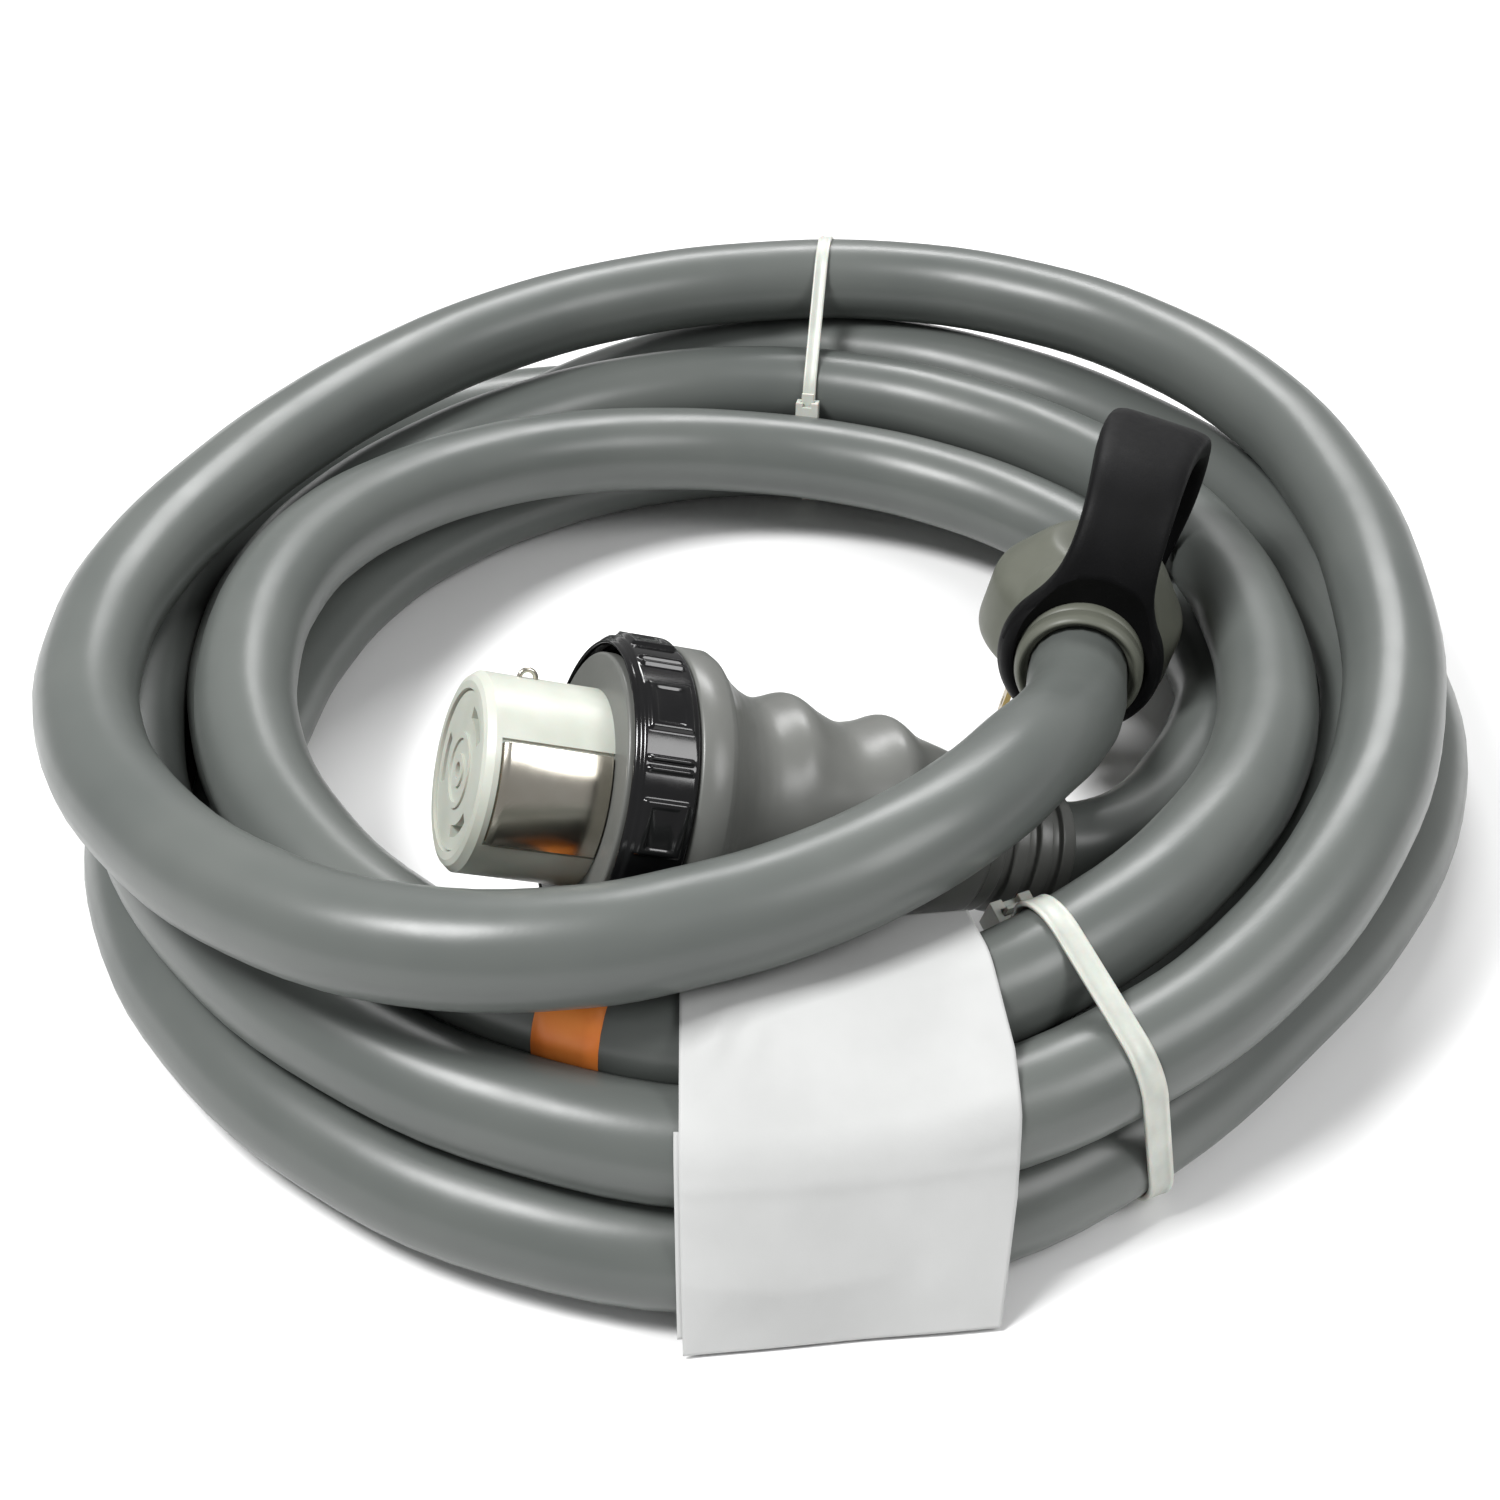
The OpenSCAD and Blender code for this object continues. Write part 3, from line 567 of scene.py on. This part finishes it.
# The strap of the handle: (x, y, z, width, thickness) of its middle line in the plug's frame
HANDLE_LINE = [
    (0, -37.6, 20, 50.4, 9.6), (0, -37.6, 26, 49, 9.6), (-0.2, -37.6, 33, 43.5, 9.6),
    (-0.6, -37.7, 40, 35.5, 9.4), (-1, -37.4, 47, 30.2, 9.2), (-1.4, -35.5, 55, 27.4, 9),
    (-1.6, -31, 62.5, 26.8, 8.8), (-1.7, -24, 69, 27.4, 8.6), (-1.5, -14, 73.4, 28.8, 8.6),
    (-0.8, -3, 75, 30.2, 8.6), (0.6, 8, 75.2, 31.4, 8.6), (2.8, 18, 74.2, 32, 8.8),
    (5.2, 27, 70.4, 32, 9), (7.4, 34, 63.6, 31.6, 9.2), (9, 38.2, 55, 31, 9.2), (9.8, 39.4, 44, 30.4, 9),
    (9.6, 38.8, 32, 29.6, 8.6), (9.2, 37.6, 21, 28.6, 8), (8.6, 36.2, 10, 27.4, 7),
]


def rounded_section(centre, across, out, width, thick, count=28):
    """A ring of points round a flat section with full, soft corners."""
    ring = []
    for k in range(count):
        c, s = math.cos(2 * math.pi * k / count), math.sin(2 * math.pi * k / count)
        x = math.copysign(abs(c) ** 0.32, c) * width / 2
        y = math.copysign(abs(s) ** 0.5, s) * thick / 2
        ring.append(centre + across * x + out * y)
    return ring


line = catmull([p[:3] for p in HANDLE_LINE], 4)
sizes = catmull([p[3:] for p in HANDLE_LINE], 4)
sections = []
for i, (p, size) in enumerate(zip(line, sizes)):
    d = line[min(i + 1, len(line) - 1)] - line[max(i - 1, 0)]
    out = Vector((0, -d[2], d[1])).normalized()
    sections.append([PLUG @ v for v in rounded_section(p, Vector((1, 0, 0)), out, *size)])
handle = swept("plug_pull_handle_strap", sections)
grip_line = eased([(32.6, 19), (32.6, 24.6), (35, 25.4), (38.5, 25.3), (42, 23.6), (43.2, 21.4), (42.2, 19)],
                  1.2, 4)
combine(handle, "UNION", turned_solid("grip_ring", grip_line, OUTLET, 128))
# The strap keeps clear of the neck and the body, and its broad foot has a shallow dish.
clear_r = BODY_R + 0.2
bore = turned_solid("bore", [(20, 0.2), (20, 20.1), (60, 20.1), (60, 0.2)], OUTLET, 96)
clear_line = [(-30, 0.2), (-30, clear_r), (BODY_H + 0.3, clear_r), (BODY_H + 0.3, 0.2)]
clear = turned_solid("clear", clear_line, PLUG, 96)
dish = ball("dish", PLUG @ Matrix.Translation((-0.4, -45.6, 26.5)), (22, 8, 27.5), 64)
combine(handle, "DIFFERENCE", bore, clear, dish)
soften(handle, 0.5, 2, 50)
finish_piece(handle, "black_rubber")
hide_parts("plug_pull_handle")

# ---- Connector ----

BAND_R, HUB_R = 41, 31.2
HUB_FRONT, BAND_FRONT, BAND_BACK, BOOT_BACK = -38, -52.3, -60.6, -148
# The finger grips: the angle of their side, and (height, place along the axis, width) of each
GRIP_SIDE = 188
GRIPS = [(3.3, -88, 6.2), (3.6, -118, 6), (-0.8, -76, 5), (-1.2, -103, 5)]
# From the band back to the strain relief, as (along the axis, radius)
boot_slope = [
    (BAND_BACK, BAND_R), (-62.4, 40), (-64.5, 37.6), (-67.5, 35), (-71, 33), (-75, 31.8), (-79, 31),
    (-83, 30.5), (-87, 30.2), (-91, 29.9), (-95, 29.6), (-99, 29.3), (-103, 29), (-107, 28.7), (-111, 28.5),
    (-115, 28.3), (-119, 28), (-123, 27.6), (-127, 27), (-131, 26.3), (-135, 25.4), (-139, 24.3),
    (-143, 22.9), (-146.5, 21.3), (BOOT_BACK, 19.6),
]
boot_line = [
    (HUB_FRONT, 24.2), (HUB_FRONT, HUB_R), (BAND_FRONT, HUB_R), (BAND_FRONT, BAND_R - 0.6), (-53, BAND_R),
    (-57, BAND_R),
]
# The slope has three steps between each two points, so that the grips are smooth.
for (z0, r0), (z1, r1) in zip(boot_slope, boot_slope[1:]):
    boot_line += [(z0 + (z1 - z0) * k / 3, r0 + (r1 - r0) * k / 3) for k in range(3)]
boot_line += [(BOOT_BACK, 19.6), (BOOT_BACK, 15.3), (-130, 15.3), (-126, 21), (-112, 21), (-66, 24.2)]


def finger_grips(z, r, a):
    """The boot's skin swells and dips along its upper side."""
    inside = r < 16.5 or r < 24.3 and z > -140
    if inside or not -147 <= z <= -64:
        return r
    side = smooth_step((math.cos(math.radians(a - GRIP_SIDE)) - 0.05) / 0.9)
    return r + side * sum(height * bell(z, middle, width) for height, middle, width in GRIPS)


boot = turned_solid("connector_boot_shell", boot_line, CONNECTOR, 144, finger_grips)
finish_piece(boot, "grey_rubber")
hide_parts("connector_boot")

relief_line = [(-148.05, 15.3), (-148.05, 19.4), (-151.6, 19.5)]
for groove in (-152.4, -159.6, -166.8):
    relief_line += [(groove, 19.2), (groove - 0.5, 17.3), (groove - 2.9, 17.2), (groove - 3.4, 18.9)]
relief_line += [(-172.4, 18.4), (-174.4, 18), (-175, 17.2), (-175, 15.3)]
relief = turned_solid("connector_strain_relief_sleeve", eased(relief_line, 0.4, 3), CONNECTOR, 112)
finish_piece(relief, "grey_rubber")
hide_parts("connector_strain_relief")

flange_line = eased([(-38, 22.7), (-38, 36.4), (-34, 36.4), (-34, 22.7)], 1.0, 4)
flange = turned_solid("connector_flange_plate", flange_line, CONNECTOR, 144)
finish_piece(flange, "grey_rubber")
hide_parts("connector_flange")

# Ground plates: curved nickel sheets with a rolled front edge
plate_line = eased([(-33.6, 25.7), (-33.6, 27.2), (-6, 27.3), (-4.6, 26.6), (-4.2, 25.2), (-4.9, 25.1),
                    (-6.4, 26.1), (-8, 26.3), (-30, 25.7)], 0.5, 3)
PLATE_SWEEP = 59
for side, centre in (("front", 90), ("rear", 270)):
    plate = turned_solid("ground_plate_" + side, plate_line, CONNECTOR, 48,
                         start=centre - PLATE_SWEEP / 2, sweep=PLATE_SWEEP)
    soften(plate, 0.25, 2, 40)
    finish_piece(plate, "nickel")
    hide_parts("connector_ground_plate_" + side)

# Sealing ring with raised pads and thin double ribs
SKIN_R, RING_BACK, RING_W = 41.25, 52, 17.5
PADS = 8


def between(x, low, high, soft):
    """1 between the two values and 0 outside them, with soft ends."""
    return smooth_step((x - low) / soft) * smooth_step((high - x) / soft)


def ring_surface(z, r, a):
    """The raised, framed pads and the pairs of ribs between them."""
    if r < SKIN_R - 0.4:
        return r
    up = z + RING_BACK
    rise = 0.0
    for k in range(PADS):
        off = (a - 360 / PADS * k + 180) % 360 - 180
        if abs(off) < 12:
            pad = between(off, -10.2, 10.2, 0.9) * between(up, 2, 14.6, 0.7)
            window = between(off, -7.6, 7.6, 0.8) * between(up, 4.4, 12.4, 0.6)
            rise = max(rise, 1.2 * pad - 0.5 * window)
        off = (a - 360 / PADS * (k + 0.5) + 180) % 360 - 180
        for rib in (-1.9, 1.9):
            rise = max(rise, 0.95 * between(off, rib - 1.15, rib + 1.15, 0.7) * between(up, 2, 14.6, 0.8))
    return r + rise


# The ring's skin has close steps where the pads and their windows end.
PAD_STEPS = [1.2, 1.9, 2.2, 2.5, 2.9, 3.6, 4.3, 4.7, 5.1, 6.5, 8.4, 10.2, 11.7, 12.1, 12.5, 13.2, 13.9,
             14.3, 14.7, 15.2]
outer = [(0.0, SKIN_R - 1.4), (0.25, SKIN_R - 0.8), (0.7, SKIN_R - 0.2)]
outer += [(up, SKIN_R) for up in PAD_STEPS]
outer += [(15.7, SKIN_R - 0.5), (15.9, SKIN_R - 1.1), (16.3, SKIN_R - 1.3), (17.0, SKIN_R - 1.5),
          (17.4, SKIN_R - 1.9), (RING_W, SKIN_R - 2.3)]
thread = []
for turn in range(3):
    top = RING_W - 0.5 - 2.6 * turn
    thread += [(top, 38.7), (top - 0.6, 38.6), (top - 1.3, 39.85), (top - 1.9, 39.85)]
inner = [(8.1, 39.95), (1.95, 39.95), (1.95, 33.2), (0.0, 33.2)]
ring_line = [(z - RING_BACK, r) for z, r in outer + thread + inner]
ring = turned_solid("threaded_sealing_ring_body", ring_line, CONNECTOR, 720, ring_surface)
finish_piece(ring, "gloss_black", "sealing_ring")
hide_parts("threaded_sealing_ring")

# ---- Cable ties ----

REAR_ANGLE, FRONT_ANGLE = 82, -64
STRAP_R, STRAP_STEP = CORD_D / 2 + 0.1, 0.7


def crossings(angle, inner):
    """Where turns that lie past the inner distance cross the angle, as (distance out, height)."""
    a = math.radians(angle)
    d, n = Vector((math.cos(a), math.sin(a), 0)), Vector((-math.sin(a), math.cos(a), 0))
    found = []
    for p, q in zip(CORD_LINE, CORD_LINE[1:]):
        s, t = p.dot(n), q.dot(n)
        if s * t <= 0 and p.dot(d) > inner:
            m = p.lerp(q, s / (s - t))
            found.append((m.dot(d), m[2]))
    return found


def upright_slice(angle):
    """The frame of the upright plane at the angle: X out, Y up."""
    turn = Matrix.Rotation(math.radians(angle), 4, "Z") @ Matrix.Rotation(math.radians(90), 4, "X")
    return Matrix.Translation(-ORIGIN * MM) @ turn @ Matrix.Scale(MM, 4)


def taut_loop(centres, radius, step):
    """A taut loop round circles, with a point about every step."""
    loop = [p.to_3d() for p in convex(circle_points(centres, radius, 0, 360, 5))]
    n = len(loop)
    total = sum((loop[i] - loop[i - 1]).length for i in range(n))
    count = int(total / step)
    out, i, passed = [], 0, 0.0
    for k in range(count):
        want = total * k / count
        while want > passed + (loop[(i + 1) % n] - loop[i]).length:
            passed += (loop[(i + 1) % n] - loop[i]).length
            i += 1
        p, q = loop[i], loop[(i + 1) % n]
        out.append(p.lerp(q, (want - passed) / max((q - p).length, 1e-9)))
    return out


def tie_strap(label, slice_at, loop, width, thick, tooth=0.0, lean=0.0):
    """The strap along the loop, with teeth across its outer face, leaning sideways with height."""
    w, t, n = width / 2, thick, len(loop)
    rings = []
    for i, p in enumerate(loop):
        d = (loop[(i + 1) % n] - loop[i - 1]).normalized()
        out = Vector((d[1], -d[0], 0))
        low = t - 0.1 - (tooth if i % 2 else 0.0)
        shape = [(-w, 0.1), (-w + 0.15, 0), (w - 0.15, 0), (w, 0.1), (w, t - 0.2), (w - 0.25, t),
                 (w * 0.62, t), (w * 0.56, low), (-w * 0.56, low), (-w * 0.62, t), (-w + 0.25, t),
                 (-w, t - 0.2)]
        ring = []
        for across, rise in shape:
            x, y, z = p + out * rise
            ring.append(slice_at @ Vector((x, max(y, 0.15), z + across + lean * (y - 50))))
        rings.append(ring)
    strap = swept(label + "_tie_loop", rings, closed=True)
    finish_piece(strap, "tie_nylon")
    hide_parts(label + "_tie_strap")


def tie_head(label, slice_at, loop, height, size, depth, width, slot_w, tail):
    """The head on the loop's inner side at the height, the cut tail of the strap in it, and the pawl."""
    mean = sum(p[0] for p in loop) / len(loop)
    inner = [k for k in range(len(loop)) if loop[k][0] < mean]
    i = min(inner, key=lambda k: abs(loop[k][1] - height))
    d = (loop[i - 1] - loop[(i + 1) % len(loop)]).normalized()
    foot = loop[i] - Vector((d[1], -d[0], 0)) * 1.3
    tilt = math.atan2(d[1], d[0]) + math.radians(90)
    place = slice_at @ Matrix.Translation(foot) @ Matrix.Rotation(tilt, 4, "Z")
    sill = depth * 0.35
    top = sill + 1.9
    head = block(label + "_tie_head_block", place, (0, -size / 2, -width / 2), (depth, size / 2, width / 2))
    slot = block("slot", place, (sill, -size, -slot_w / 2), (top, size, slot_w / 2))
    notch = block("notch", place, (depth * 0.6, -size, -slot_w * 0.3),
                  (depth + 2, -size * 0.28, slot_w * 0.3))
    combine(head, "DIFFERENCE", slot, notch)
    for poly in head.data.polygons:
        poly.use_smooth = False
    soften(head, 0.35, 3)
    finish_piece(head, "tie_nylon")
    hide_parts(label + "_tie_head")
    half_w = slot_w / 2 - 0.3
    stub = block(label + "_tie_tail", place, (sill + 0.3, -size / 2 - 3, -half_w),
                 (sill + 1.5, size / 2 + tail, half_w))
    soften(stub, 0.3, 2)
    finish_piece(stub, "tie_nylon")
    pawl = block(label + "_tie_tongue", place, (top, -size * 0.2, -slot_w * 0.28),
                 (top + 1, size * 0.25, slot_w * 0.28))
    soften(pawl, 0.2, 2)
    finish_piece(pawl, "tie_nylon")
    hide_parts(label + "_tie_pawl")


rear_slice, front_slice = upright_slice(REAR_ANGLE), upright_slice(FRONT_ANGLE)
rear_loop = taut_loop(crossings(REAR_ANGLE, 155), STRAP_R, STRAP_STEP)
front_loop = taut_loop(crossings(FRONT_ANGLE, 150), STRAP_R, STRAP_STEP)
tie_strap("rear", rear_slice, rear_loop, width=4.8, thick=1.2)
tie_strap("front", front_slice, front_loop, width=7.2, thick=1.35, tooth=0.22, lean=0.16)
tie_head("rear", rear_slice, rear_loop, height=42.5, size=7.6, depth=5.4, width=8.4, slot_w=5.2, tail=5)
tie_head("front", front_slice, front_loop, height=50, size=11, depth=7.6, width=12.5, slot_w=8.2, tail=16)

# ---- Tag and label ----

# How far right each edge of the tag is, at a part of its length
LEFT_EDGE = [(0, -17.5), (0.4, -17.2), (1, -16.5)]
RIGHT_EDGE = [(0, 56), (0.2, 61), (0.38, 65), (0.52, 66), (0.7, 65.5), (0.85, 64), (1, 62.5)]
TAG_ROWS, TAG_COLUMNS = 150, 84


def edge_at(edge, v):
    """How far right the edge is at a part v of the tag's length."""
    for (v0, x0), (v1, x1) in zip(edge, edge[1:]):
        if v <= v1:
            return x0 + (x1 - x0) * (v - v0) / (v1 - v0)
    return edge[-1][1]


def paper_line(x, gap):
    """The paper's line down over the strands at x, pulled taut, as (y, z) in equal steps."""
    t = (x - LEFT_EDGE[0][1]) / (RIGHT_EDGE[0][1] - LEFT_EDGE[0][1])
    top, foot = (-170 + 7 * t, 68 + 3 * t), (-249 + 8.5 * t, 1.2)
    # The lower strands at the front, without the top loop that passes over them
    strands = []
    for p, q in zip(CORD_LINE, CORD_LINE[1:]):
        if (p[0] - x) * (q[0] - x) <= 0 and p[1] < -150 and p[2] < 70:
            strands.append(p.lerp(q, (x - p[0]) / (q[0] - p[0]))[1:])
    loop = convex([top, foot] + circle_points(strands, gap, 60, 270, 3))
    first, last = (min(range(len(loop)), key=lambda k: (loop[k] - Vector(end)).length) for end in (top, foot))
    loop = [loop[k % len(loop)] for k in range(first, last + 1 if last > first else last + len(loop) + 1)]
    reach = [0.0]
    for p, q in zip(loop, loop[1:]):
        reach.append(reach[-1] + (q - p).length)
    out, k = [], 0
    for i in range(TAG_ROWS + 1):
        want = reach[-1] * i / TAG_ROWS
        while k < len(loop) - 2 and reach[k + 1] < want:
            k += 1
        out.append(loop[k].lerp(loop[k + 1], (want - reach[k]) / max(reach[k + 1] - reach[k], 1e-9)))
    return out


def creases(u, v):
    """How far the paper stands off its taut line at parts u of its width and v of its length."""
    wave = 0.45 + 0.3 * math.sin(u * 4.6 + v * 3.1) * math.sin(v * 7.4) + 0.15 * math.sin(u * 11 - v * 8)
    pucker = 0.4 * (1 + math.sin(u * 43 + v * 30)) * bell(u, 0.16, 0.1) * bell(v, 0.31, 0.05)
    return wave + pucker + 0.3 * bell(v, 0.62, 0.02)


def paper(name, gap, start, end, shift, rough):
    """A layer of the tag between two parts of its length, at the gap from the strands' middles."""
    x_low, step, count = -20, 3, 32
    lines = [paper_line(x_low + step * k, gap) for k in range(count)]
    rows = range(round(TAG_ROWS * start), round(TAG_ROWS * end) + 1)
    verts = []
    for i in rows:
        v = i / TAG_ROWS
        left, right = edge_at(LEFT_EDGE, v) + shift, edge_at(RIGHT_EDGE, v) + shift
        for j in range(TAG_COLUMNS + 1):
            u = j / TAG_COLUMNS
            x = left + (right - left) * u
            k = min(int((x - x_low) / step), count - 2)
            line = lines[k]
            q = line[i].lerp(lines[k + 1][i], (x - x_low) / step - k)
            d = (line[min(i + 1, TAG_ROWS)] - line[max(i - 1, 0)]).normalized()
            h = creases(u, v) * rough
            verts.append(at((x, q[0] + d[1] * h, q[1] - d[0] * h)))
    n = TAG_COLUMNS + 1
    obj = mesh_object(name, verts, [quad(i, i + 1, j, n) for i in range(len(rows) - 1) for j in range(n - 1)])
    skin = obj.modifiers.new("thickness", "SOLIDIFY")
    skin.thickness = 0.00025
    skin.offset = 0
    finish_piece(obj, "tag_paper")
    return obj


tag = paper("folded_tag_front", 16.0, 0, 1, 0, 1)
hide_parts("folded_tag")
tag_back = paper("folded_tag_back", 15.4, 0.5, 0.96, -1.3, 0.3)

LABEL_ANGLE, LABEL_W = -100, 16
LABEL_FOOT_R, LABEL_EDGE_R, LABEL_R = 15.05, 15.32, 15.38
fine_line = catmull(ROUTE, 12)


def off_label(i):
    """How many degrees a point of the cord is from the label's near end, on the turn that carries it."""
    x, y, z = fine_line[i]
    return abs(math.degrees(math.atan2(y, x)) - LABEL_ANGLE) if 54 < z < 70 else 360


# The stretch of the cord under the label
i = min(range(len(fine_line)), key=off_label)
run = 0.0
stretch = [fine_line[i]]
while run < LABEL_W:
    i += 1
    run += (fine_line[i] - fine_line[i - 1]).length
    stretch.append(fine_line[i])
last = len(stretch) - 1
hem = [(0, LABEL_FOOT_R), (0, LABEL_EDGE_R)]
stations = hem + [(k, LABEL_R) for k in range(1, last)] + [(last, r) for k, r in reversed(hem)]
turn = [2 * math.pi * j / 64 for j in range(64)]
rings = []
for k, r in stations:
    d = (stretch[min(k + 1, last)] - stretch[max(k - 1, 0)]).normalized()
    side = d.cross(Vector((0, 0, 1))).normalized()
    up = side.cross(d)
    rings.append([at(stretch[k] + (side * math.cos(a) + up * math.sin(a)) * r) for a in turn])
label = swept("cord_label_wrap", rings)
finish_piece(label, "orange_label")
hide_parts("cord_label")

# ---- Stage ----

floor_mesh = bpy.data.meshes.new("floor")
b = bmesh.new()
bmesh.ops.create_grid(b, x_segments=1, y_segments=1, size=6)
b.to_mesh(floor_mesh)
b.free()
floor = bpy.data.objects.new("floor", floor_mesh)
scene.collection.objects.link(floor)
floor_mesh.materials.append(material("floor", (0.9, 0.9, 0.9), 0.9, specular=0.1))

world = bpy.data.worlds.new("world")
scene.world = world
world.use_nodes = True
world.node_tree.nodes["Background"].inputs["Color"].default_value = (1, 1, 1, 1)
world.node_tree.nodes["Background"].inputs["Strength"].default_value = 0.34


def light(name, place, size, power, depth=None):
    """A soft lamp aimed at the middle of the coil, square unless it has a depth of its own."""
    lamp = bpy.data.lights.new(name, "AREA")
    lamp.energy = power
    lamp.size = size
    if depth:
        lamp.shape = "RECTANGLE"
        lamp.size_y = depth
    o = bpy.data.objects.new(name, lamp)
    scene.collection.objects.link(o)
    o.location = place
    o.rotation_euler = (Vector((0, 0, 0.03)) - Vector(place)).to_track_quat("-Z", "Y").to_euler()


light("key", (-0.7, -0.35, 1.35), 0.45, 26)
light("fill", (1.0, -0.5, 1.1), 0.6, 9)
light("back", (0.2, 1.1, 1.2), 0.8, 16, depth=0.35)

scene.view_settings.view_transform = "Standard"
